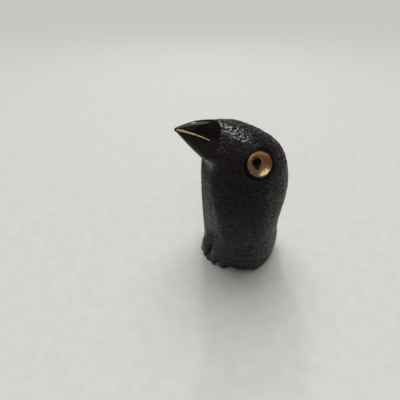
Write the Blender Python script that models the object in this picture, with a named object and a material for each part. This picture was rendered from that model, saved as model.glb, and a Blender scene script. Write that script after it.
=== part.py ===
# Crow figurine: a carved black bird that looks upwards, with a doweled beak, inlaid mouth lines,
# set-in eyes, pinned feet and a felt pad in its underside. The bird faces -Y, its left side is +X,
# and it stands on the plane z = 0 with the origin under the middle of its bounding box.

import math
from collections import namedtuple

import bmesh
import bpy
from mathutils import Matrix, Vector
from mathutils.bvhtree import BVHTree

MM = 0.001

# Sections of the skin, from the floor up the body and out along the beak, in millimetres.
# Each lies in a plane through a front point and a back point on the bird's middle line:
# front and back are reaches forward of the body's axis, front_z and back_z their heights.
# flat is half the width of its flat front, the bird's bib, and widest is how far behind
# the front point the section has its full half_width.
# front_n and back_n shape its two halves: 2 is an ellipse, less is pointed, more is square.
Section = namedtuple("Section", "front front_z back back_z flat half_width widest front_n back_n")
BASE = Section(15.2, 0.0, -22.5, 0.0, 7.2, 19.5, 12.8, 1.6, 1.6)
SKIRT = Section(16.1, 9.5, -21.4, 9.5, 8.8, 20.2, 13.0, 1.7, 1.8)
WAIST = Section(17.9, 22.0, -18.8, 22.0, 8.0, 19.5, 16.0, 1.5, 1.9)
BREAST = Section(19.8, 35.0, -19.1, 38.5, 6.0, 19.8, 18.5, 1.4, 2.2)
SHOULDER = Section(21.0, 45.5, -17.0, 50.5, 4.1, 20.3, 19.2, 1.4, 2.3)
NAPE = Section(21.3, 52.6, -11.8, 62.5, 3.0, 19.2, 17.9, 1.5, 2.3)
BROW = Section(20.3, 56.4, 0.0, 69.8, 2.6, 15.5, 13.6, 1.7, 2.5)
FOREHEAD = Section(20.6, 57.9, 9.3, 73.0, 1.6, 11.0, 10.4, 1.8, 2.5)
BEAK_SEAT = Section(22.4, 59.0, 16.7, 75.3, 0.0, 5.9, 8.8, 1.9, 2.2)
BEAK_MIDDLE = Section(28.0, 65.5, 25.0, 76.3, 0.0, 4.2, 5.4, 1.9, 2.1)
BEAK_TIP = Section(33.6, 72.9, 33.4, 75.5, 0.0, 1.2, 1.3, 2.0, 2.0)
BEAK_END = Section(34.9, 74.2, 34.9, 74.7, 0.0, 0.3, 0.25, 2.0, 2.0)
BODY_SECTIONS = (BASE, SKIRT, WAIST, BREAST, SHOULDER, NAPE, BROW, FOREHEAD, BEAK_SEAT)
ALL_SECTIONS = (*BODY_SECTIONS, BEAK_MIDDLE, BEAK_TIP, BEAK_END)
SEAT_PLACE = len(BODY_SECTIONS) - 1
END_PLACE = len(ALL_SECTIONS) - 1

# Joints: a glue line between faces, and the room around a pin or a wire
GLUE_GAP = 0.12
FIT_CLEARANCE = 0.1

# Beak dowel
BEAK_DOWEL_RADIUS = 2.0
BEAK_DOWEL_IN_BEAK = 7.0
BEAK_DOWEL_IN_BODY = 9.0

# Mouth inlay: a round wire let into each side of the beak. Its ends are given as places
# counted in sections past the beak's seat, and as shares of the beak's depth there.
MOUTH_WIRE_RADIUS = 0.5
MOUTH_WIRE_SUNK = 0.25
MOUTH_REAR_PLACE = 0.42
MOUTH_FRONT_PLACE = 2.2
MOUTH_REAR_SHARE = 0.56
MOUTH_FRONT_SHARE = 0.64

# Eyes: a turned rim, a dished iris inside it, and a pupil peg through the iris into the head.
# An eye's place is measured from the top of the brow section, and depths from the skin at the
# middle of the eye.
EYE_AHEAD_OF_BROW = 6.1
EYE_BELOW_BROW = 8.4
EYE_SOCKET_DEPTH = 2.6
EYE_RIM_RADIUS = 6.1
EYE_RIM_WIDTH = 0.9
EYE_RIM_CREST_DEPTH = 0.4
IRIS_EDGE_DEPTH = 0.9
IRIS_THICKNESS = 0.6
PUPIL_RADIUS = 2.0
PUPIL_FORWARD = 0.9
PUPIL_UP = 0.6
PUPIL_CROWN = 0.45
PUPIL_PIN_IN_BODY = 2.5

# Underside: a recess for the felt pad, and an arch on each side between foot and wing tip.
# An arch is turned from square to the side towards the front, in degrees.
BASE_RIM_WIDTH = 4.5
PAD_RECESS_DEPTH = 2.4
PAD_THICKNESS = 1.7
ARCH_SETBACK = 7.0
ARCH_INSET = 4.1
ARCH_TURN = 38.0
ARCH_SPAN = 12.6
ARCH_RISE = 3.0
ARCH_DEPTH = 4.0

# Feet: an instep with three toes, pinned to the front of the body. Setbacks are measured
# from the front of the base, and splays outwards from straight ahead, in degrees.
FOOT_SPACING = 9.4
FEET_GAP = 0.5
INSTEP_SETBACK = 0.9
INSTEP_HEIGHT = 2.5
INSTEP_HALF_WIDTH = 4.8
INSTEP_HALF_LENGTH = 5.8
INSTEP_HALF_HEIGHT = 11.0
TOE_ROOT_SETBACK = 2.2
TOE_ROOT_SPREAD = 0.8
TOE_HALF_WIDTH = 2.2
TOE_HALF_HEIGHT = 4.2
TOE_HEIGHT = 0.6
INNER_TOE_LENGTH = 8.5
MIDDLE_TOE_LENGTH = 7.3
OUTER_TOE_LENGTH = 7.0
INNER_TOE_SPLAY = -20.0
MIDDLE_TOE_SPLAY = 15.0
OUTER_TOE_SPLAY = 60.0
TOE_GAP_WALL = 0.4
TOE_GAP_SPREAD = 1.2
TOE_GAP_HALF_WIDTH = 1.2
TOE_GAP_HALF_HEIGHT = 3.6
FOOT_DOWEL_RADIUS = 0.9
FOOT_DOWEL_COVER = 0.8
FOOT_DOWEL_IN_BODY = 5.0
FOOT_DOWEL_WALL = 0.5

# Facets
RING_POINTS = 48
BODY_STEPS = 4
BEAK_STEPS = 6
MOUTH_STEPS = 12
WIRE_FACETS = 8
EYE_FACETS = 32
PUPIL_FACETS = 16
DOME_STEPS = 4
CREST_STEPS = 4
DOWEL_FACETS = 20
ARCH_FACETS = 64
TOE_FACETS = 16
TOE_RINGS = 10
SHARP_ANGLE = math.radians(40)
MERGE_DISTANCE = 1e-7

# Worked out from the sizes above
MIDDLE_FORWARD = (BEAK_END.back + BASE.back) / 2
EYE_FORWARD = BROW.back + EYE_AHEAD_OF_BROW
EYE_HEIGHT = BROW.back_z - EYE_BELOW_BROW
FOOT_DOWEL_FLOOR = max(PAD_RECESS_DEPTH, TOE_GAP_HALF_HEIGHT) + FOOT_DOWEL_WALL
FOOT_DOWEL_HEIGHT = FOOT_DOWEL_FLOOR + FIT_CLEARANCE + FOOT_DOWEL_RADIUS
TRIM_SIZE = 4 * BASE.half_width
AHEAD = Vector((0, -1, 0))
UP = Vector((0, 0, 1))
SIDES = ((1, "left"), (-1, "right"))


def place(across, forward, height):
    """The point this far from the middle line, the body's axis and the floor, in metres."""
    return Vector((across, MIDDLE_FORWARD - forward, height)) * MM


def section_at(position):
    """The section at a position counted in sections, on a smooth curve through them all."""
    first = min(int(position), END_PLACE - 1)
    t = position - first
    values = []
    for field in range(len(Section._fields)):
        a, b = ALL_SECTIONS[first][field], ALL_SECTIONS[first + 1][field]
        before = ALL_SECTIONS[first - 1][field] if first > 0 else 2 * a - b
        beyond = ALL_SECTIONS[first + 2][field] if first + 2 <= END_PLACE else 2 * b - a
        slope_a = (b - before) / 2
        slope_b = (beyond - a) / 2
        values.append(
            (2 * t**3 - 3 * t**2 + 1) * a
            + (t**3 - 2 * t**2 + t) * slope_a
            + (3 * t**2 - 2 * t**3) * b
            + (t**3 - t**2) * slope_b
        )
    return Section(*values)


def depth_of(section):
    return math.hypot(section.back - section.front, section.back_z - section.front_z)


def at_depth(section, across, behind):
    """The point this far behind the section's front point, and this far from the middle line."""
    share = behind / depth_of(section)
    forward = section.front + (section.back - section.front) * share
    height = section.front_z + (section.back_z - section.front_z) * share
    return place(across, forward, height)


def signed_power(value, power):
    return math.copysign(abs(value) ** power, value)


def outline(section, grown=0.0):
    """The section's outline, grown outwards by a distance."""
    points = []
    for k in range(RING_POINTS):
        angle = 2 * math.pi * k / RING_POINTS
        ahead, aside = math.cos(angle), math.sin(angle)
        n = section.front_n if ahead > 0 else section.back_n
        half = section.widest if ahead > 0 else depth_of(section) - section.widest
        flat = math.copysign(section.flat, aside) if ahead > 0 and k > 0 else 0
        behind = section.widest - signed_power(ahead, 2 / n) * (half + grown)
        across = flat + signed_power(aside, 2 / n) * (section.half_width - abs(flat) + grown)
        points.append(at_depth(section, across, behind))
    return points


def skin_outlines(first, last, steps, grown=0.0):
    """The outlines from one section to another, with this many steps between neighbours."""
    count = (last - first) * steps
    return [outline(section_at(first + k / steps), grown) for k in range(count + 1)]


def loft(outlines):
    """A closed body through a row of outlines."""
    mesh = bmesh.new()
    loops = []
    for points in outlines:
        corners = [mesh.verts.new(point) for point in points]
        pairs = zip(corners, corners[1:] + corners[:1])
        loops.append([mesh.edges.new(pair) for pair in pairs])
    for lower, upper in zip(loops, loops[1:]):
        bmesh.ops.bridge_loops(mesh, edges=lower + upper)
    for end in (loops[0], loops[-1]):
        bmesh.ops.contextual_create(mesh, geom=end)
    bmesh.ops.recalc_face_normals(mesh, faces=mesh.faces)
    return mesh


def turned(profile, facets):
    """A body turned about Z from a profile of (radius, height) points in millimetres."""
    mesh = bmesh.new()
    corners = [mesh.verts.new((radius * MM, 0, height * MM)) for radius, height in profile]
    edges = [mesh.edges.new(pair) for pair in zip(corners, corners[1:])]
    if profile[0][0] > 0 and profile[-1][0] > 0:
        edges.append(mesh.edges.new((corners[-1], corners[0])))
    bmesh.ops.spin(
        mesh, geom=corners + edges, axis=(0, 0, 1), cent=(0, 0, 0),
        angle=2 * math.pi, steps=facets, use_merge=True,
    )
    bmesh.ops.remove_doubles(mesh, verts=mesh.verts, dist=MERGE_DISTANCE)
    bmesh.ops.recalc_face_normals(mesh, faces=mesh.faces)
    return mesh


def rod(radius, low, high, facets):
    return turned([(0, low), (radius, low), (radius, high), (0, high)], facets)


def dome(radius, edge, crown):
    """Profile points of a shallow dome, from its edge in to its crown."""
    points = []
    for k in range(DOME_STEPS + 1):
        out = 1 - k / DOME_STEPS
        points.append((radius * out, crown + (edge - crown) * out**2))
    return points


def tube(points, radius):
    """A round wire along a row of points, with flat ends."""
    angles = [2 * math.pi * k / WIRE_FACETS for k in range(WIRE_FACETS)]
    circle = [Vector((math.cos(a), math.sin(a), 0)) * radius * MM for a in angles]
    rings = []
    for k, point in enumerate(points):
        before = points[max(k - 1, 0)]
        after = points[min(k + 1, len(points) - 1)]
        turn = (after - before).to_track_quat("Z", "Y")
        rings.append([point + turn @ spoke for spoke in circle])
    return loft(rings)


def lengthened(points, length):
    """The same row of points, carried on at both ends by a length."""
    start = (points[0] - points[1]).normalized() * length * MM
    end = (points[-1] - points[-2]).normalized() * length * MM
    return [points[0] + start] + points[1:-1] + [points[-1] + end]


def egg(half_width, half_length, half_height):
    """A ball stretched to half sizes along X, Y and Z."""
    mesh = bmesh.new()
    bmesh.ops.create_uvsphere(mesh, u_segments=TOE_FACETS, v_segments=TOE_RINGS, radius=MM)
    bmesh.ops.scale(mesh, vec=(half_width, half_length, half_height), verts=mesh.verts)
    return mesh


def block(width, length, height):
    """A box centred on its own origin."""
    mesh = bmesh.new()
    bmesh.ops.create_cube(mesh, size=MM)
    bmesh.ops.scale(mesh, vec=(width, length, height), verts=mesh.verts)
    return mesh


def frame_along(origin, axis, lean):
    """A frame whose Z runs along an axis and whose X leans towards a direction."""
    z = axis.normalized()
    x = (lean - z * lean.dot(z)).normalized()
    turn = Matrix((x, z.cross(x), z)).transposed().to_4x4()
    return Matrix.Translation(origin) @ turn


def material(name, colour, roughness, metallic):
    finish = bpy.data.materials.new(name)
    finish.use_nodes = True
    shader = finish.node_tree.nodes["Principled BSDF"]
    shader.inputs["Base Color"].default_value = (*colour, 1.0)
    shader.inputs["Roughness"].default_value = roughness
    shader.inputs["Metallic"].default_value = metallic
    return finish


def solid(name, mesh, finish, frame=Matrix.Identity(4)):
    """A piece of the figurine, from a mesh in its own frame."""
    data = bpy.data.meshes.new(name)
    mesh.to_mesh(data)
    mesh.free()
    data.shade_smooth()
    data.set_sharp_from_angle(angle=SHARP_ANGLE)
    data.materials.append(finish)
    piece = bpy.data.objects.new(name, data)
    bpy.context.scene.collection.objects.link(piece)
    piece.parent = figurine
    piece.matrix_world = frame
    return piece


def cutter(name, mesh, frame=Matrix.Identity(4)):
    """A shape that only cuts or fills other pieces."""
    guide = solid(name, mesh, guide_finish, frame)
    guide.hide_render = True
    guide.display_type = "WIRE"
    return guide


def combine(piece, tool, operation="DIFFERENCE"):
    step = piece.modifiers.new(tool.name, "BOOLEAN")
    step.operation = operation
    step.solver = "EXACT"
    step.object = tool


def pin(name, radius, low, high, frame, held):
    """A dowel, and its hole in the pieces that it holds together."""
    solid(name, rod(radius, low, high, DOWEL_FACETS), dowel_wood, frame)
    bore = rod(radius + FIT_CLEARANCE, low - FIT_CLEARANCE, high + FIT_CLEARANCE, DOWEL_FACETS)
    hole = cutter(f"{name}_hole", bore, frame)
    for piece in held:
        combine(piece, hole)


def build_beak(body):
    """The polished beak, standing off its seat by the glue line, on a dowel."""
    down_seat = at_depth(BEAK_SEAT, 0, 0) - at_depth(BEAK_SEAT, 0, BEAK_SEAT.widest)
    axis = down_seat.cross(Vector((1, 0, 0))).normalized()
    outlines = skin_outlines(SEAT_PLACE, END_PLACE, BEAK_STEPS)
    outlines[0] = [point + axis * GLUE_GAP * MM for point in outlines[0]]
    beak = solid("beak", loft(outlines), black_gloss)
    frame = frame_along(at_depth(BEAK_SEAT, 0, BEAK_SEAT.widest), axis, UP)
    pin("beak_dowel", BEAK_DOWEL_RADIUS, -BEAK_DOWEL_IN_BODY, BEAK_DOWEL_IN_BEAK, frame, (body, beak))
    return beak


def mouth_point(side, share_along):
    """A point of the mouth line on the beak's side, from its rear end to its front end."""
    position = MOUTH_REAR_PLACE + (MOUTH_FRONT_PLACE - MOUTH_REAR_PLACE) * share_along
    share_up = MOUTH_REAR_SHARE + (MOUTH_FRONT_SHARE - MOUTH_REAR_SHARE) * share_along
    section = section_at(SEAT_PLACE + position)
    behind = share_up * depth_of(section)
    from_widest = behind - section.widest
    n = section.back_n if from_widest > 0 else section.front_n
    half = depth_of(section) - section.widest if from_widest > 0 else section.widest
    reach = section.half_width * (1 - abs(from_widest / half) ** n) ** (1 / n)
    return at_depth(section, (reach - MOUTH_WIRE_SUNK) * side, behind)


def build_mouth(side, name, beak):
    """The wire of the mouth line, and its groove in the beak."""
    line = [mouth_point(side, k / MOUTH_STEPS) for k in range(MOUTH_STEPS + 1)]
    solid(f"mouth_inlay_{name}", tube(line, MOUTH_WIRE_RADIUS), gold)
    groove = tube(lengthened(line, FIT_CLEARANCE), MOUTH_WIRE_RADIUS + FIT_CLEARANCE)
    combine(beak, cutter(f"mouth_groove_{name}", groove))


def eye_frame(side):
    """The frame of an eye: on the skin, facing square out of the head, with X forward."""
    outside = 2 * SHOULDER.half_width * side
    inwards = Vector((-side, 0, 0))
    half = EYE_RIM_RADIUS / 2

    def on_head(forward, height):
        start = place(outside, EYE_FORWARD + forward, EYE_HEIGHT + height)
        return skin.ray_cast(start, inwards)[0]

    along = on_head(half, 0) - on_head(-half, 0)
    upright = on_head(0, half) - on_head(0, -half)
    return frame_along(on_head(0, 0), upright.cross(along) * side, along)


def build_eye(side, name, body):
    """A rim, an iris and a pupil in a stepped socket bored square into the head."""
    frame = eye_frame(side)
    floor = -EYE_SOCKET_DEPTH
    seat = floor + GLUE_GAP
    outside = EYE_SOCKET_DEPTH
    socket = rod(EYE_RIM_RADIUS + FIT_CLEARANCE, floor, outside, EYE_FACETS)
    combine(body, cutter(f"eye_socket_{name}", socket, frame))

    round_radius = EYE_RIM_WIDTH / 2
    middle = EYE_RIM_RADIUS - round_radius
    lip = -EYE_RIM_CREST_DEPTH - round_radius
    inner_radius = EYE_RIM_RADIUS - EYE_RIM_WIDTH
    rim_profile = [(EYE_RIM_RADIUS, seat)]
    for k in range(CREST_STEPS + 1):
        angle = math.pi * k / CREST_STEPS
        rim_profile.append((middle + round_radius * math.cos(angle), lip + round_radius * math.sin(angle)))
    rim_profile.append((inner_radius, seat))
    solid(f"eye_rim_{name}", turned(rim_profile, EYE_FACETS), black_gloss, frame)

    iris_radius = inner_radius - FIT_CLEARANCE
    iris_profile = [(0, seat), (iris_radius, seat)]
    iris_profile += dome(iris_radius, -IRIS_EDGE_DEPTH, seat + IRIS_THICKNESS)
    iris = solid(f"iris_{name}", turned(iris_profile, EYE_FACETS), gold, frame)

    upwards = PUPIL_UP * side
    pupil_frame = frame @ Matrix.Translation(Vector((PUPIL_FORWARD, -upwards, 0)) * MM)
    bottom = floor - PUPIL_PIN_IN_BODY
    hole = rod(PUPIL_RADIUS + FIT_CLEARANCE, bottom, outside, PUPIL_FACETS)
    pin_hole = cutter(f"pupil_hole_{name}", hole, pupil_frame)
    combine(iris, pin_hole)
    combine(body, pin_hole)
    pupil_profile = [(0, bottom + GLUE_GAP), (PUPIL_RADIUS, bottom + GLUE_GAP)]
    pupil_profile += dome(PUPIL_RADIUS, -IRIS_EDGE_DEPTH - PUPIL_CROWN, -IRIS_EDGE_DEPTH)
    solid(f"pupil_{name}", turned(pupil_profile, PUPIL_FACETS), black_bead, pupil_frame)


def lifted(points, height):
    return [point + UP * height * MM for point in points]


def build_underside(body):
    """The pad recess with the felt pad in it, and the side arches."""
    recess = outline(BASE, -BASE_RIM_WIDTH)
    hollow = loft([lifted(recess, -PAD_RECESS_DEPTH), lifted(recess, PAD_RECESS_DEPTH)])
    combine(body, cutter("pad_recess", hollow))
    inside = outline(BASE, -BASE_RIM_WIDTH - FIT_CLEARANCE)
    top = PAD_RECESS_DEPTH - GLUE_GAP
    solid("base_pad", loft([lifted(inside, top - PAD_THICKNESS), lifted(inside, top)]), red_felt)
    radius = ((ARCH_SPAN / 2) ** 2 + ARCH_RISE**2) / (2 * ARCH_RISE)
    turn = math.radians(ARCH_TURN)
    for side, name in SIDES:
        arch = rod(radius, -ARCH_DEPTH, 2 * BASE.half_width, ARCH_FACETS)
        across = (BASE.half_width - ARCH_INSET) * side
        middle = place(across, BASE.front - ARCH_SETBACK, ARCH_RISE - radius)
        outwards = Vector((math.cos(turn) * side, -math.sin(turn), 0))
        combine(body, cutter(f"side_arch_{name}", arch, frame_along(middle, outwards, UP)))


def toe_shape(root, half_width, length, half_height, splay):
    """An egg laid out from a toe's root at a splay, and the frame to put it in."""
    turn = Matrix.Rotation(math.radians(splay), 4, "Z")
    reach = Matrix.Translation(AHEAD * length / 2 * MM)
    return egg(half_width, length / 2, half_height), Matrix.Translation(root) @ turn @ reach


def breast_point(across, height):
    """The point of the breast's skin this far from the middle line and the floor."""
    return skin.ray_cast(place(across, 2 * BASE.front, height), -AHEAD)[0]


def other_half(side, name):
    """The room of the other foot, with half of the gap between the two."""
    beyond = Matrix.Translation(place(side * (FEET_GAP - TRIM_SIZE) / 2, 0, 0))
    return cutter(f"other_half_{name}", block(TRIM_SIZE, TRIM_SIZE, TRIM_SIZE), beyond)


def build_foot(side, name, body, trims):
    """An instep with three toes, trimmed to the breast, the floor and the other foot, on a pin."""
    across = FOOT_SPACING / 2 * side
    instep_forward = BASE.front - INSTEP_SETBACK
    middle = Matrix.Translation(place(across, instep_forward, INSTEP_HEIGHT))
    instep = egg(INSTEP_HALF_WIDTH, INSTEP_HALF_LENGTH, INSTEP_HALF_HEIGHT)
    foot = solid(f"foot_{name}", instep, black_lacquer, middle)
    toes = (
        ("inner", -TOE_ROOT_SPREAD, INNER_TOE_LENGTH, INNER_TOE_SPLAY),
        ("middle", 0, MIDDLE_TOE_LENGTH, MIDDLE_TOE_SPLAY),
        ("outer", TOE_ROOT_SPREAD, OUTER_TOE_LENGTH, OUTER_TOE_SPLAY),
    )
    for toe_name, spread, length, splay in toes:
        root = place(across + spread * side, BASE.front - TOE_ROOT_SETBACK, TOE_HEIGHT)
        toe = toe_shape(root, TOE_HALF_WIDTH, length, TOE_HALF_HEIGHT, splay * side)
        combine(foot, cutter(f"{toe_name}_toe_{name}", *toe), "UNION")
    gap_root = breast_point(across + TOE_GAP_SPREAD * side, TOE_HEIGHT)
    gap_root += AHEAD * (GLUE_GAP + TOE_GAP_WALL) * MM
    gap_root.z = 0
    gap_splay = (MIDDLE_TOE_SPLAY + OUTER_TOE_SPLAY) / 2 * side
    gap = toe_shape(gap_root, TOE_GAP_HALF_WIDTH, MIDDLE_TOE_LENGTH, TOE_GAP_HALF_HEIGHT, gap_splay)
    combine(foot, cutter(f"toe_gap_{name}", *gap))
    for trim in (*trims, other_half(side, name)):
        combine(foot, trim)
    pin_seat = breast_point(across, FOOT_DOWEL_HEIGHT)
    rise = (FOOT_DOWEL_HEIGHT - INSTEP_HEIGHT) / INSTEP_HALF_HEIGHT
    instep_front = instep_forward + INSTEP_HALF_LENGTH * math.sqrt(1 - rise**2)
    in_foot = instep_front - (MIDDLE_FORWARD - pin_seat.y / MM) - FOOT_DOWEL_COVER
    frame = frame_along(pin_seat, AHEAD, UP)
    pin(f"foot_dowel_{name}", FOOT_DOWEL_RADIUS, -FOOT_DOWEL_IN_BODY, in_foot, frame, (body, foot))


def foot_trims():
    """What both feet are cut back to: the skin with its glue line, and the floor."""
    skin_rings = skin_outlines(0, SEAT_PLACE, BODY_STEPS, GLUE_GAP)
    bed = cutter("foot_bed", loft([lifted(skin_rings[0], -PAD_RECESS_DEPTH)] + skin_rings))
    below = Matrix.Translation(place(0, 0, -TRIM_SIZE / 2))
    ground = cutter("ground", block(TRIM_SIZE, TRIM_SIZE, TRIM_SIZE), below)
    return bed, ground


for leftover in list(bpy.data.objects):
    bpy.data.objects.remove(leftover, do_unlink=True)

figurine = bpy.data.objects.new("figurine", None)
bpy.context.scene.collection.objects.link(figurine)

black_lacquer = material("black_lacquer", (0.018, 0.018, 0.02), 0.45, 0.0)
black_gloss = material("black_gloss", (0.008, 0.008, 0.009), 0.12, 0.0)
black_bead = material("black_bead", (0.004, 0.004, 0.005), 0.05, 0.0)
gold = material("gold", (0.62, 0.40, 0.17), 0.32, 1.0)
dowel_wood = material("dowel_wood", (0.45, 0.30, 0.16), 0.6, 0.0)
red_felt = material("red_felt", (0.16, 0.04, 0.025), 0.95, 0.0)
guide_finish = material("guide", (0.5, 0.5, 0.5), 0.5, 0.0)

skin_mesh = loft(skin_outlines(0, SEAT_PLACE, BODY_STEPS))
skin = BVHTree.FromBMesh(skin_mesh)
crow_body = solid("body", skin_mesh, black_lacquer)
crow_beak = build_beak(crow_body)
build_underside(crow_body)
foot_cuts = foot_trims()
for bird_side, side_name in SIDES:
    build_mouth(bird_side, side_name, crow_beak)
    build_eye(bird_side, side_name, crow_body)
    build_foot(bird_side, side_name, crow_body, foot_cuts)
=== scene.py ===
import math

import bmesh
import bpy
import numpy
from mathutils import Matrix, Vector, geometry, noise
from mathutils.bvhtree import BVHTree


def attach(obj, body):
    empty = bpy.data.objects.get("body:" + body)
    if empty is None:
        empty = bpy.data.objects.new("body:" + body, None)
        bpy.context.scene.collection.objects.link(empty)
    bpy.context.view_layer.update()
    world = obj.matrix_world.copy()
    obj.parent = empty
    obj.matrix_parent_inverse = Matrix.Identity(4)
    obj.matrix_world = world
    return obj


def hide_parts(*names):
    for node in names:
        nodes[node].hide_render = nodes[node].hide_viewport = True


# A carved crow figurine: stippled black lacquer, polished beak, gilt eyes and mouth lines.
# Sizes in the dictionaries are millimetres, and the bird faces -Y.
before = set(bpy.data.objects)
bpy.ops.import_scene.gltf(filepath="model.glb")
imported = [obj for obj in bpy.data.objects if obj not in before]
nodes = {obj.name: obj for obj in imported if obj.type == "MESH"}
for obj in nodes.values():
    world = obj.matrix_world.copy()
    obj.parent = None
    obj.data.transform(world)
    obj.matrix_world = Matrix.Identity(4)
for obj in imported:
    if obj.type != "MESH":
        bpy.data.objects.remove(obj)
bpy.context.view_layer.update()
mm = 0.001
weld = 0.001 * mm  # points nearer than this are one
sides = {"left": 1, "right": -1}
dowels = ("beak_dowel", "foot_dowel_left", "foot_dowel_right")
print("frame loaded:", len(nodes), "nodes")


# Shader sockets that add, subtract and multiply like numbers
class Wire:
    def __init__(self, tree, socket=None):
        self.tree = tree
        self.socket = socket

    def node(self, kind, settings=None, sockets=None, output=0):
        made = self.tree.nodes.new(kind)
        for name, value in (settings or {}).items():
            setattr(made, name, value)
        for name, value in (sockets or {}).items():
            if isinstance(value, Wire):
                self.tree.links.new(value.socket, made.inputs[name])
            else:
                made.inputs[name].default_value = value
        return Wire(self.tree, made.outputs[output])

    def math(self, operation, first, second):
        return self.node("ShaderNodeMath", {"operation": operation}, {0: first, 1: second})

    def __add__(self, other):
        return self.math("ADD", self, other)

    def __radd__(self, other):
        return self.math("ADD", other, self)

    def __sub__(self, other):
        return self.math("SUBTRACT", self, other)

    def __rsub__(self, other):
        return self.math("SUBTRACT", other, self)

    def __mul__(self, other):
        return self.math("MULTIPLY", self, other)

    def __rmul__(self, other):
        return self.math("MULTIPLY", other, self)

    def axis(self, name):
        return self.node("ShaderNodeSeparateXYZ", None, {"Vector": self}, name)

    def rise(self, low, high):
        # 0 at low, 1 at high, smooth between
        steps = {"interpolation_type": "SMOOTHSTEP"}
        return self.node("ShaderNodeMapRange", steps, {"Value": self, "From Min": low, "From Max": high})

    def between(self, first, second):
        # first colour where this is 0, second where it is 1
        pair = {6 + k: colour if isinstance(colour, Wire) else (*colour, 1)
                for k, colour in enumerate((first, second))}
        return self.node("ShaderNodeMix", {"data_type": "RGBA"}, {0: self, **pair}, output=2)


def newFinish(name, **fixed):
    # a material with its shader's constant values, and a wire to start from
    made = bpy.data.materials.new(name)
    made.use_nodes = True
    shader = made.node_tree.nodes["Principled BSDF"]
    for socket, value in fixed.items():
        shader.inputs[socket.replace("_", " ")].default_value = value
    return made, Wire(made.node_tree), shader


def feed(shader, wires):
    for socket, wire in wires.items():
        wire.tree.links.new(wire.socket, shader.inputs[socket])


def metres(lengths):
    return [length * mm for length in lengths]


def placed(wire, stretch=(1, 1, 1)):
    place = wire.node("ShaderNodeTexCoord", output="Object")
    return wire.node("ShaderNodeMapping", None, {"Vector": place, "Scale": stretch})


def grain(wire, feature, stretch=(1, 1, 1), detail=2.0):
    # noise over the piece, with features this many millimetres across
    sockets = {"Vector": placed(wire, stretch), "Scale": 1 / (feature * mm), "Detail": detail}
    return wire.node("ShaderNodeTexNoise", None, sockets)


def pits(wire, apart, stretch, reach, bend=0.5):
    # 0 in small uneven dents this many millimetres apart, 1 between them
    place = placed(wire, stretch)
    ripples = {"Vector": place, "Scale": 2 / (apart * mm)}  # twice as fine as the dents
    wobble = wire.node("ShaderNodeTexNoise", None, ripples, output="Color")
    shift = (bend * apart * mm,) * 3
    bent = wire.node("ShaderNodeVectorMath", {"operation": "MULTIPLY_ADD"}, {0: wobble, 1: shift, 2: place})
    sockets = {"Vector": bent, "Scale": 1 / (apart * mm)}
    return wire.node("ShaderNodeTexVoronoi", {"feature": "F1"}, sockets).rise(*reach)


def bumped(wire, height, depth):
    return wire.node("ShaderNodeBump", None, {"Distance": depth * mm, "Height": height})


lacquer = {
    "black": (0.0045, 0.0042, 0.0046), "maroon": (0.014, 0.0045, 0.006),
    "patch": 9.0, "patchShare": (0.45, 0.65),
    "blush": (0.014, 0.003, 0.005), "dent": (0.002, 0.0015, 0.0015),
    "lowSheen": (0.068, 0.072, 0.07), "lowSheenFrom": (48, 8), "lowSheenShare": (0.28, 0.62),
    "gloss": 0.175, "sheen": (0.88, 0.98, 1, 1), "roughness": (0.1, 0.22), "smoothRoughness": 0.14,
    "headFrom": (50, 60), "headRoughness": (0.07, 0.13),
    "coat": 0.9, "coatRoughness": 0.06, "coatFrom": (62, 69), "coatAhead": (1, -5),
    "smoothCoat": 0.5, "smoothFrom": (0.3, 1),
    "dentsApart": 0.85, "dentStretch": (0.65, 0.65, 1.3), "dentReach": (0.1, 0.42), "dentShade": 0.8,
    "mark": 0.7, "markStretch": (0.7, 0.7, 1.1), "markRange": (0.3, 0.7), "markShare": 1.5, "depth": 0.52,
}


def lacquerFinish():
    # half-gloss black over a maroon ground, with a painted floor reflection low down, and glossiest on the
    # crown, with tool marks where the piece is stippled and painted shade in their dents
    made, wire, shader = newFinish("blackLacquer", Specular_IOR_Level=lacquer["gloss"],
                                   Specular_Tint=lacquer["sheen"], Coat_Roughness=lacquer["coatRoughness"])
    stipple, blush = (wire.node("ShaderNodeAttribute", {"attribute_name": name}, output="Fac")
                      for name in ("stipple", "blush"))
    along, height = (placed(wire).axis(name) for name in "YZ")
    head, crown, low = (height.rise(*metres(lacquer[part])) for part in ("headFrom", "coatFrom", "lowSheenFrom"))
    crown = crown * along.rise(*metres(lacquer["coatAhead"]))
    smooth = (1 - stipple).rise(*lacquer["smoothFrom"])
    marks = grain(wire, lacquer["mark"], lacquer["markStretch"], 3.0)
    dents = pits(wire, lacquer["dentsApart"], lacquer["dentStretch"], lacquer["dentReach"])
    patches = grain(wire, lacquer["patch"]).rise(*lacquer["patchShare"])
    ground = patches.between(lacquer["black"], lacquer["maroon"])
    ground = blush.between(ground, lacquer["blush"])
    # paler low down and on the marks' ridges: painted reflection of the floor
    ground = (low * marks.rise(*lacquer["lowSheenShare"])).between(ground, lacquer["lowSheen"])
    least, most = (flank + head * (top - flank)
                   for flank, top in zip(lacquer["roughness"], lacquer["headRoughness"]))
    base = lacquer["smoothRoughness"]
    feed(shader, {
        # the dents painted darker: painted shade in the pits
        "Base Color": ((1 - dents) * stipple * lacquer["dentShade"]).between(ground, lacquer["dent"]),
        "Coat Weight": crown * lacquer["coat"] + smooth * lacquer["smoothCoat"],
        "Roughness": base + stipple * (least - base + marks.rise(*lacquer["markRange"]) * (most - least)),
        "Normal": bumped(wire, (dents + marks * lacquer["markShare"]) * stipple, lacquer["depth"]),
    })
    return made


gloss = {
    "black": (0.009, 0.0072, 0.0064), "brown": (0.013, 0.0085, 0.0072), "level": 0.1,
    "cloud": 4.0, "cloudShare": (0.35, 0.7),
    "rub": 1.2, "rubStretch": (1, 0.5, 1), "rubShare": (0.4, 0.8), "roughness": (0.05, 0.1),
}


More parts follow.
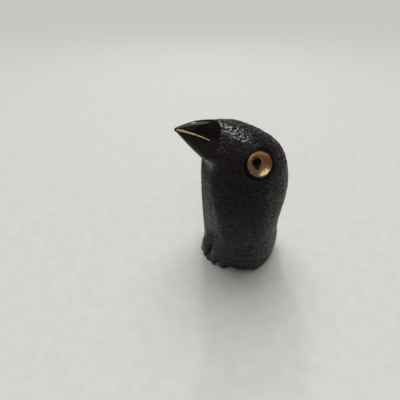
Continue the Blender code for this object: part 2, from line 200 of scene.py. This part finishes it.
def glossFinish():
    # polished lacquer with faint brown depth and rubbed places
    made, wire, shader = newFinish("polishedBlack", Specular_IOR_Level=gloss["level"])
    cloud = grain(wire, gloss["cloud"])
    rubs = grain(wire, gloss["rub"], gloss["rubStretch"], 4.0)
    low, high = gloss["roughness"]
    feed(shader, {
        "Base Color": cloud.rise(*gloss["cloudShare"]).between(gloss["black"], gloss["brown"]),
        "Roughness": low + rubs.rise(*gloss["rubShare"]) * (high - low),
    })
    return made


gilt = {
    "eye": {"gold": (0.98, 0.74, 0.38), "brown": (0.42, 0.195, 0.075), "mottle": 0.75, "worn": (0.38, 0.66)},
    "mouth": {"gold": (0.78, 0.64, 0.42), "brown": (0.45, 0.30, 0.14), "mottle": 1.6, "worn": (0.4, 0.7)},
    "shadeFrom": (61, 66), "shadeLean": 0.8, "shadeShare": 0.2,
    "nick": (0.075, 0.038, 0.02), "nicksApart": 0.5, "nickShare": (0.57, 0.68), "nickShade": 0.75,
    "roughness": (0.15, 0.34), "hammer": 0.8, "hammerDepth": 0.05,
}


def giltFinish(place):
    # gold worn through to brown in cloudy patches; an eye's is nicked, and browner above and behind as
    # painted shade
    made, wire, shader = newFinish(place + "Gold", Metallic=1.0)
    tone = gilt[place]
    mottle = grain(wire, tone["mottle"], detail=4.0)
    if place == "eye":
        # painted shade: the eye's gold turns browner towards the top and back
        along, height = (placed(wire).axis(name) for name in "YZ")
        shadeAbove = (height + along * gilt["shadeLean"]).rise(*metres(gilt["shadeFrom"]))
        mottle = mottle + shadeAbove * gilt["shadeShare"]
    worn = mottle.rise(*tone["worn"])
    colour = worn.between(tone["gold"], tone["brown"])
    if place == "eye":
        nicks = grain(wire, gilt["nicksApart"], detail=3.0).rise(*gilt["nickShare"])
        colour = (nicks * gilt["nickShade"]).between(colour, gilt["nick"])
    low, high = gilt["roughness"]
    feed(shader, {
        "Base Color": colour,
        "Roughness": low + worn * (high - low),
        "Normal": bumped(wire, grain(wire, gilt["hammer"]), gilt["hammerDepth"]),
    })
    return made


bead = {
    "black": (0.003, 0.0015, 0.0015), "brown": (0.008, 0.0035, 0.0022), "level": 0.12,
    "cloud": 1.5, "roughness": (0.06, 0.12),
}


def beadFinish():
    # the pupils' glossy black
    made, wire, shader = newFinish("pupilBead", Specular_IOR_Level=bead["level"])
    cloud = grain(wire, bead["cloud"])
    low, high = bead["roughness"]
    feed(shader, {
        "Base Color": cloud.between(bead["black"], bead["brown"]),
        "Roughness": low + cloud * (high - low),
    })
    return made


felt = {
    "red": (0.20, 0.045, 0.028), "dark": (0.09, 0.02, 0.013), "sheen": 0.4, "sheenRoughness": 0.5,
    "fibre": 0.35, "fibreStretch": (1, 1, 2), "fibreShare": (0.3, 0.7), "fibreDepth": 0.15,
    "roughness": (0.85, 1.0),
}


def feltFinish():
    # matted red-brown fibres
    made, wire, shader = newFinish("redFelt", Sheen_Weight=felt["sheen"],
                                   Sheen_Roughness=felt["sheenRoughness"])
    fibres = grain(wire, felt["fibre"], felt["fibreStretch"], 5.0)
    low, high = felt["roughness"]
    feed(shader, {
        "Base Color": fibres.rise(*felt["fibreShare"]).between(felt["dark"], felt["red"]),
        "Roughness": low + fibres * (high - low),
        "Normal": bumped(wire, fibres, felt["fibreDepth"]),
    })
    return made


wood = {
    "pale": (0.50, 0.34, 0.19), "dark": (0.30, 0.18, 0.09), "roughness": (0.55, 0.75),
    "ring": 0.5, "ringStretch": (1, 0.1, 0.1), "ringShare": (0.35, 0.65),
}


def woodFinish():
    # bare dowel wood with grain along it
    made, wire, shader = newFinish("dowelWood")
    rings = grain(wire, wood["ring"], wood["ringStretch"], 3.0)
    low, high = wood["roughness"]
    feed(shader, {
        "Base Color": rings.rise(*wood["ringShare"]).between(wood["pale"], wood["dark"]),
        "Roughness": low + rings * (high - low),
    })
    return made


blackLacquer = lacquerFinish()
polishedBlack = glossFinish()
eyeGold = giltFinish("eye")
mouthGold = giltFinish("mouth")
pupilBead = beadFinish()
redFelt = feltFinish()
dowelWood = woodFinish()
print("finishes made")


# Meshes
def nodeCopy(name):
    # a merged copy of a CAD node, in its place
    shape = bmesh.new()
    shape.from_mesh(nodes[name].data)
    bmesh.ops.remove_doubles(shape, verts=shape.verts, dist=weld)
    return shape


def remeshed(shape, voxel):
    # the same form in even squares
    mesh = bpy.data.meshes.new("voxels")
    shape.to_mesh(mesh)
    shape.free()
    block = bpy.data.objects.new("voxels", mesh)
    bpy.context.scene.collection.objects.link(block)
    step = block.modifiers.new("voxels", "REMESH")
    step.mode = "VOXEL"
    step.voxel_size = voxel * mm
    even = bmesh.new()
    even.from_object(block, bpy.context.evaluated_depsgraph_get())
    bpy.data.objects.remove(block)
    bpy.data.meshes.remove(mesh)
    return even


def smoothed(shape, verts, times):
    for _ in range(times):
        bmesh.ops.smooth_vert(shape, verts=verts, factor=0.5,
                              use_axis_x=True, use_axis_y=True, use_axis_z=True)
    shape.normal_update()


def addPiece(name, shape, finish, slot, *replaced):
    mesh = bpy.data.meshes.new(name)
    shape.to_mesh(mesh)
    shape.free()
    mesh.shade_smooth()
    mesh.materials.append(finish)
    piece = bpy.data.objects.new(name, mesh)
    bpy.context.scene.collection.objects.link(piece)
    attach(piece, "root")
    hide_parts(*replaced)
    print(name, len(mesh.polygons), "faces")
    return piece


def surfaceOf(*names):
    # nearest-point tree over CAD nodes
    joined = bmesh.new()
    for name in names:
        joined.from_mesh(nodes[name].data)
    tree = BVHTree.FromBMesh(joined)
    joined.free()
    return tree


def mainAxes(name):
    # a node's middle, and its directions from longest to shortest
    shape = nodeCopy(name)
    points = numpy.array([vert.co for vert in shape.verts])
    shape.free()
    middle = points.mean(0)
    axes = numpy.linalg.svd(points - middle, full_matrices=False)[2]
    return Vector(middle), [Vector(axis) for axis in axes]


def forward(axis):
    return axis if axis.y < 0 else -axis


def farthest(name, direction):
    return max(vert.co.dot(direction) for vert in nodes[name].data.vertices)


def smoothStep(low, high, value):
    share = min(max((value - low) / (high - low), 0), 1)
    return share * share * (3 - 2 * share)


def bell(distance):
    return math.exp(-distance ** 2)


def eyeSeat(name, side):
    # an eye's frame: origin level with the rim's crest, Z out of the head, X ahead
    middle, axes = mainAxes(f"eye_rim_{name}")
    out = axes[2] if axes[2].x * side > 0 else -axes[2]
    crest = farthest(f"eye_rim_{name}", out) - middle.dot(out)
    ahead = Vector((0, -1, 0))
    ahead = (ahead - out * ahead.dot(out)).normalized()
    turn = Matrix((ahead, out.cross(ahead), out)).transposed().to_4x4()
    return Matrix.Translation(middle + out * crest) @ turn


eyeSeats = {name: eyeSeat(name, side) for name, side in sides.items()}
beakAxis = forward(mainAxes("beak_dowel")[1][0])

body = {
    "voxel": 0.385, "smoothing": 14, "guard": 0.5,
    "lidRadius": 6.4, "lidWidth": 0.6, "lidHeight": 0.4, "lidDepth": 6,
    "browFrom": 60, "browWidth": 1.6, "browHeight": 0.45,
    "smoothNearEye": (6.1, 6.7), "smoothNearBeak": (0.1, 0.6), "beakReach": 3,
    "throat": (0, -14.5, 57.5), "smoothNearThroat": (2, 7),
    "footReach": 2.8, "footRise": 1.5, "footSmooth": 0.5,
    "cheek": (12.8, -7.7, 62.5), "blushReach": (3, 8), "blushSmooth": 0.3,
    "headFrom": (50, 58), "bibFrom": (9, 11.4), "bibSlant": 0.7,
    "flankStroke": (1.7, 1.7, 1.0), "headStroke": (1.0, 1.0, 0.95), "bibStroke": (1.6, 1.6, 1.2),
    "strokeDepth": 0.5, "strokeLevel": 0.45,
}
brow = [(5.2, -11.3, 71.4), (8.8, -7.1, 69.9), (12.7, -2.6, 67.9), (16.0, 3.0, 65.8)]


def strokes(point):
    # short level tool marks on the flanks, slanting ones on the bib, dabs on the head
    head = smoothStep(*body["headFrom"], point.z)
    bib = smoothStep(*body["bibFrom"], -point.y) * (1 - head)
    slant = body["bibSlant"]

    def marks(size, across, up):
        cell = Vector((across / size[0], point.y / size[1], up / size[2]))
        return noise.voronoi(cell)[0][0] - body["strokeLevel"]

    depth = marks(body["headStroke"], point.x, point.z) * head
    depth += marks(body["bibStroke"], point.x + point.z * slant, point.z - point.x * slant) * bib
    depth += marks(body["flankStroke"], point.x, point.z) * (1 - head - bib)
    return depth * body["strokeDepth"]


def browLift(point):
    # a soft ridge from the beak back over each eye
    aside = Vector((abs(point.x), point.y, point.z))
    gaps = []
    for start, end in zip(brow, brow[1:]):
        near, share = geometry.intersect_point_line(aside, Vector(start), Vector(end))
        near = Vector(start) if share < 0 else Vector(end) if share > 1 else near
        gaps.append((aside - near).length)
    return body["browHeight"] * bell(min(gaps) / body["browWidth"])


def carvedBody():
    # the body under tool strokes, smooth round the eyes, beak and throat, with lids and brows
    shape = remeshed(nodeCopy("body"), body["voxel"])
    stipple = shape.verts.layers.float.new("stipple")
    blush = shape.verts.layers.float.new("blush")
    edges = surfaceOf("base_pad", "pupil_left", "pupil_right", *dowels)
    guard = body["guard"] * mm
    free = [v for v in shape.verts if v.co.z > guard and edges.find_nearest(v.co, guard)[0] is None]
    smoothed(shape, free, body["smoothing"])
    beak = surfaceOf("beak")
    feet = surfaceOf("foot_left", "foot_right")
    throat, cheek = Vector(body["throat"]), Vector(body["cheek"])
    toEyes = [seat.inverted() for seat in eyeSeats.values()]
    for vert in free:
        point = vert.co / mm
        near = beak.find_nearest(vert.co, body["beakReach"] * mm)[3]
        mask = 1 if near is None else smoothStep(*body["smoothNearBeak"], near / mm)
        mask *= smoothStep(*body["smoothNearThroat"], (point - throat).length)
        toCheek = (Vector((abs(point.x), point.y, point.z)) - cheek).length
        vert[blush] = 1 - smoothStep(*body["blushReach"], toCheek)
        mask *= 1 - body["blushSmooth"] * vert[blush]
        lift = 0
        for toEye in toEyes:
            local = toEye @ vert.co / mm
            if abs(local.z) < body["lidDepth"]:
                radius = math.hypot(local.x, local.y)
                mask *= smoothStep(*body["smoothNearEye"], radius)
                lift += body["lidHeight"] * bell((radius - body["lidRadius"]) / body["lidWidth"])
        if point.z > body["browFrom"]:
            lift += browLift(point)
        toFoot = feet.find_nearest(vert.co, body["footReach"] * mm)[3]
        if toFoot is not None:  # the breast runs smoothly up to the legs
            share = 1 - toFoot / mm / body["footReach"]
            lift += body["footRise"] * share * share
            mask *= 1 - body["footSmooth"] * share
        vert[stipple] = mask
        vert.co += vert.normal * (lift + strokes(point) * mask) * mm
    addPiece("carvedBody", shape, blackLacquer, "black_lacquer", "body")


beakSizes = {"voxel": 0.2, "smoothing": 12, "guard": 0.3, "rearDepth": 1.0, "rearSunk": 0.8}


def polishedBeak():
    # the beak without facets
    shape = remeshed(nodeCopy("beak"), beakSizes["voxel"])
    edges = surfaceOf("mouth_inlay_left", "mouth_inlay_right", "beak_dowel")
    guard = beakSizes["guard"] * mm
    free = [v for v in shape.verts if edges.find_nearest(v.co, guard)[0] is None]
    smoothed(shape, free, beakSizes["smoothing"])
    rear = -farthest("beak", -beakAxis)
    for vert in shape.verts:  # the rear goes into the head, which closes the glue line
        ahead = (vert.co.dot(beakAxis) - rear) / (beakSizes["rearDepth"] * mm)
        vert.co -= beakAxis * beakSizes["rearSunk"] * max(1 - ahead, 0) * mm
    addPiece("polishedBeak", shape, polishedBlack, "black_gloss", "beak")


mouth = {"hollow": 1.7, "proud": 0.12, "rings": 13, "rearWidth": 0.45, "rounding": 2}


def mouthLine(name, side):
    # the wire's outer half pressed in, so that it is a gilt channel that widens to the beak's tip
    shape = nodeCopy(f"mouth_inlay_{name}")
    along = forward(mainAxes(f"mouth_inlay_{name}")[1][0])
    reach = [vert.co.dot(along) for vert in shape.verts]
    start, length = min(reach), max(reach) - min(reach)
    last = mouth["rings"] - 1
    rings = {}
    for vert in shape.verts:
        place = round((vert.co.dot(along) - start) / length * last)
        rings.setdefault(place, []).append(vert)
    for place, ring in rings.items():
        centre = sum((vert.co for vert in ring), Vector()) / len(ring)
        width = mouth["rearWidth"] + (1 - mouth["rearWidth"]) * place / last
        for vert in ring:
            spoke = vert.co - centre
            out = spoke.x * side
            spoke *= width
            if out > 0:
                spoke.x -= out * side * mouth["hollow"] * width
            vert.co = centre + spoke + Vector((side * mouth["proud"] * mm, 0, 0))
    shape.normal_update()
    piece = addPiece(f"mouthLine_{name}", shape, mouthGold, "gold", f"mouth_inlay_{name}")
    rounding = piece.modifiers.new("rounding", "SUBSURF")
    rounding.levels = rounding.render_levels = mouth["rounding"]


eye = {
    "facets": 96, "rimRadius": 6.1, "rimInner": 5.2, "rimSlope": 0.45, "rimFoot": 2.05, "rimSteps": 12,
    "irisRadius": 5.1, "irisMiddle": -1.9, "irisRise": 0.985, "irisSteps": 20,
    "moundHeight": 0.5, "moundRadius": 2.6,
    "pupilRadius": 2.0, "pupilAhead": 0.95, "pupilUp": 0.7, "pupilProud": 0.5, "pupilSunk": 0.2,
    "pupilTail": 1.55, "pupilPinch": 0.5, "pupilSteps": 10,
}


def spun(profile, closed, seat):
    # a turned shape from (radius, height) points about the seat's Z
    shape = bmesh.new()
    verts = [shape.verts.new((radius * mm, 0, height * mm)) for radius, height in profile]
    edges = [shape.edges.new(pair) for pair in zip(verts, verts[1:])]
    if closed:
        edges.append(shape.edges.new((verts[-1], verts[0])))
    bmesh.ops.spin(shape, geom=verts + edges, axis=(0, 0, 1), cent=(0, 0, 0), angle=2 * math.pi,
                   steps=eye["facets"], use_merge=True)
    bmesh.ops.remove_doubles(shape, verts=shape.verts, dist=weld)
    bmesh.ops.recalc_face_normals(shape, faces=shape.faces)
    bmesh.ops.transform(shape, matrix=seat, verts=shape.verts)
    return shape


def eyeRim(name):
    # a rounded ring that slopes in to the iris
    half = (eye["rimRadius"] - eye["rimInner"]) / 2
    middle = eye["rimInner"] + half
    profile = [(eye["rimRadius"], -eye["rimFoot"])]
    for angle in (math.pi * k / eye["rimSteps"] for k in range(eye["rimSteps"] + 1)):
        slope = eye["rimSlope"] * (1 - math.cos(angle)) / 2
        profile.append((middle + half * math.cos(angle), half * math.sin(angle) - half - slope))
    profile.append((eye["rimInner"], -eye["rimFoot"]))
    shape = spun(profile, True, eyeSeats[name])
    addPiece(f"eyeRing_{name}", shape, polishedBlack, "black_gloss", f"eye_rim_{name}")


def irisHeight(across, upright, side):
    # a dish that is deepest round the pupil, with a low mound under it
    toPupil = math.hypot(across - eye["pupilAhead"], upright + eye["pupilUp"] * side)
    dish = eye["irisMiddle"] + eye["irisRise"] * (toPupil / eye["irisRadius"]) ** 2
    return dish + eye["moundHeight"] * bell(toPupil / eye["moundRadius"])


def goldIris(name, side):
    # a disc whose top is pressed into the dish
    steps = eye["irisSteps"]
    profile = [(0, -eye["rimFoot"]), (eye["irisRadius"], -eye["rimFoot"])]
    profile += [(eye["irisRadius"] * (1 - k / steps), 0) for k in range(steps + 1)]
    shape = spun(profile, False, Matrix.Identity(4))
    for vert in shape.verts:
        if vert.co.z > -weld:
            vert.co.z = irisHeight(vert.co.x / mm, vert.co.y / mm, side) * mm
    bmesh.ops.transform(shape, matrix=eyeSeats[name], verts=shape.verts)
    addPiece(f"goldIris_{name}", shape, eyeGold, "gold", f"iris_{name}")


def pupil(name, side):
    # a glossy drop with its point downwards, lying in the dish
    radius, steps = eye["pupilRadius"], eye["pupilSteps"]
    profile = [(0, -eye["pupilSunk"]), (radius, -eye["pupilSunk"])]
    for angle in (math.pi / 2 * k / steps for k in range(steps + 1)):
        profile.append((radius * math.cos(angle), eye["pupilProud"] * math.sin(angle)))
    shape = spun(profile, False, Matrix.Identity(4))
    for vert in shape.verts:
        down = max(vert.co.y * side, 0) / (radius * mm)
        vert.co.y *= 1 + (eye["pupilTail"] - 1) * down
        vert.co.x *= 1 - eye["pupilPinch"] * down * down
        across = vert.co.x / mm + eye["pupilAhead"]
        upright = vert.co.y / mm - eye["pupilUp"] * side
        vert.co = Vector((across, upright, vert.co.z / mm + irisHeight(across, upright, side))) * mm
    bmesh.ops.transform(shape, matrix=eyeSeats[name], verts=shape.verts)
    shape.normal_update()
    addPiece(f"pupilDrop_{name}", shape, pupilBead, "black_bead", f"pupil_{name}")


foot = {
    "voxel": 0.22, "smoothing": 12, "stipple": 0.45, "wobble": 0.15, "wobbleSize": 2.2,
    "flareReach": 1.6, "flare": 0.6, "seatReach": 0.5, "seatSunk": 0.45,
}


def carvedFoot(name):
    # a lightly stippled foot whose leg runs into the breast
    shape = remeshed(nodeCopy(f"foot_{name}"), foot["voxel"])
    stipple = shape.verts.layers.float.new("stipple")
    free = [v for v in shape.verts if v.co.z > foot["voxel"] * mm]
    smoothed(shape, free, foot["smoothing"])
    breast = surfaceOf("body")
    for vert in shape.verts:
        vert[stipple] = foot["stipple"]
    for vert in free:
        vert.co += vert.normal * noise.noise(vert.co / (foot["wobbleSize"] * mm)) * foot["wobble"] * mm
        near, facing = breast.find_nearest(vert.co, foot["flareReach"] * mm)[:2]
        if near is None:
            continue
        # the leg spreads onto the breast, and its back closes the glue line
        gap = max((vert.co - near).dot(facing), 0) / mm
        aside = vert.normal - facing * vert.normal.dot(facing)
        moved = vert.co + aside * foot["flare"] * (1 - gap / foot["flareReach"]) ** 2 * mm
        moved -= facing * foot["seatSunk"] * max(1 - gap / foot["seatReach"], 0) * mm
        vert.co = (moved.x, moved.y, max(moved.z, foot["voxel"] * mm))
    addPiece(f"carvedFoot_{name}", shape, blackLacquer, "black_lacquer", f"foot_{name}")


pad = {
    "voxel": 0.4, "fuzz": 0.12, "fuzzSize": 0.7,
    "archAt": (11.1, 0.5), "archTurn": 38, "archSpan": 12.6, "archRise": 3.0,
    "tongue": 4.3, "tongueFrom": (-7, -3), "tongueDrop": 0.5, "tongueGap": 0.25, "tongueLeast": 0.5,
    "rootRise": 2,
}
archTurn = Matrix.Rotation(math.radians(-pad["archTurn"]), 3, "Z")


def padTongue(point):
    # how much of the felt's tongue is here, in a side arch on +X, and the height left for it
    local = archTurn.transposed() @ (point - Vector((*pad["archAt"], point.z)))
    arch = max(1 - (local.y / (pad["archSpan"] / 2)) ** 2, 0)
    share = min(2 * arch, 1) * smoothStep(*pad["tongueFrom"], local.x)
    roof = max(pad["archRise"] * arch - pad["tongueGap"], pad["tongueLeast"])
    return share, roof + pad["rootRise"] * (1 - share)


def feltPad():
    # felt with a fuzzy edge, pushed a little way out under both side arches
    shape = remeshed(nodeCopy("base_pad"), pad["voxel"])
    push = archTurn @ Vector((pad["tongue"], 0, 0)) - Vector((0, 0, pad["tongueDrop"]))
    for vert in shape.verts:
        mirror = Vector((math.copysign(1, vert.co.x), 1, 1))
        share, roof = padTongue(vert.co * mirror / mm)
        if share > 0:
            vert.co += push * mirror * share * mm
            vert.co.z = min(vert.co.z, roof * mm)
    shape.normal_update()
    for vert in shape.verts:
        vert.co -= vert.normal * abs(noise.noise(vert.co / (pad["fuzzSize"] * mm))) * pad["fuzz"] * mm
    addPiece("feltPad", shape, redFelt, "red_felt", "base_pad")


carvedBody()
polishedBeak()
for sideName, sideSign in sides.items():
    mouthLine(sideName, sideSign)
    eyeRim(sideName)
    goldIris(sideName, sideSign)
    pupil(sideName, sideSign)
    carvedFoot(sideName)
feltPad()
for dowel in dowels:
    nodes[dowel].data.materials.clear()
    nodes[dowel].data.materials.append(dowelWood)
print("pieces made")


# Floor, light and camera
studio = {
    "floorSize": 12000, "floor": (0.625, 0.615, 0.58), "floorLevel": 0.2, "floorRoughness": 0.8,
    "floorMottle": 6.0, "floorShare": (0.3, 0.7), "floorShade": 0.95,
    "world": (0.1, 0.1, 0.105),
    "skyFrom": (-0.32, 0.18, 0.93), "skySpread": 50, "skyStrength": 2.85,
    "sparkPlace": (-440, 210, 530), "sparkSize": 64, "sparkPower": 0.62,
    "windowPlace": (464, -140, 690), "windowSize": 500, "windowPower": 0.6,
}
photo = {
    "place": (99.09, -68.5, 119.68), "lookAt": (0, -17.83, 38.73),
    "focalPixels": 302, "framePixels": 400, "nearest": 5,
}


def floorPiece():
    shape = bmesh.new()
    bmesh.ops.create_grid(shape, x_segments=1, y_segments=1, size=studio["floorSize"] / 2 * mm)
    mesh = bpy.data.meshes.new("floor")
    shape.to_mesh(mesh)
    shape.free()
    made, wire, shader = newFinish("paleFloor", Specular_IOR_Level=studio["floorLevel"],
                                   Roughness=studio["floorRoughness"])
    mottle = grain(wire, studio["floorMottle"], detail=4.0).rise(*studio["floorShare"])
    shade = [colour * studio["floorShade"] for colour in studio["floor"]]
    feed(shader, {"Base Color": mottle.between(shade, studio["floor"])})
    mesh.materials.append(made)
    piece = bpy.data.objects.new("floor", mesh)
    bpy.context.scene.collection.objects.link(piece)


def addLamp(name, kind, place):
    light = bpy.data.lights.new(name, kind)
    lamp = bpy.data.objects.new(name, light)
    lamp.location = place
    lamp.rotation_mode = "QUATERNION"
    lamp.rotation_quaternion = (-lamp.location).to_track_quat("-Z", "Y")
    bpy.context.scene.collection.objects.link(lamp)
    return light


def lamps():
    # a soft sky high behind, a small lamp for the highlights and a wide weak one over the bird's left
    sky = addLamp("sky", "SUN", Vector(studio["skyFrom"]))
    sky.angle = math.radians(studio["skySpread"])
    sky.energy = studio["skyStrength"]
    for name in ("spark", "window"):
        light = addLamp(name, "AREA", Vector(studio[name + "Place"]) * mm)
        light.shape = "DISK"
        light.size = studio[name + "Size"] * mm
        light.energy = studio[name + "Power"]


def photoCamera():
    lens = bpy.data.cameras.new("photoCamera")
    lens.lens = photo["focalPixels"] / photo["framePixels"] * lens.sensor_width
    lens.clip_start = photo["nearest"] * mm
    camera = bpy.data.objects.new("photoCamera", lens)
    camera.location = Vector(photo["place"]) * mm
    toward = Vector(photo["lookAt"]) * mm - camera.location
    camera.rotation_mode = "QUATERNION"
    camera.rotation_quaternion = toward.to_track_quat("-Z", "Y")
    bpy.context.scene.collection.objects.link(camera)
    bpy.context.scene.camera = camera


floorPiece()
lamps()
room = bpy.data.worlds.new("room")
room.use_nodes = True
room.node_tree.nodes["Background"].inputs["Color"].default_value = (*studio["world"], 1)
bpy.context.scene.world = room
bpy.context.scene.view_settings.view_transform = "Standard"
photoCamera()
print("studio made")
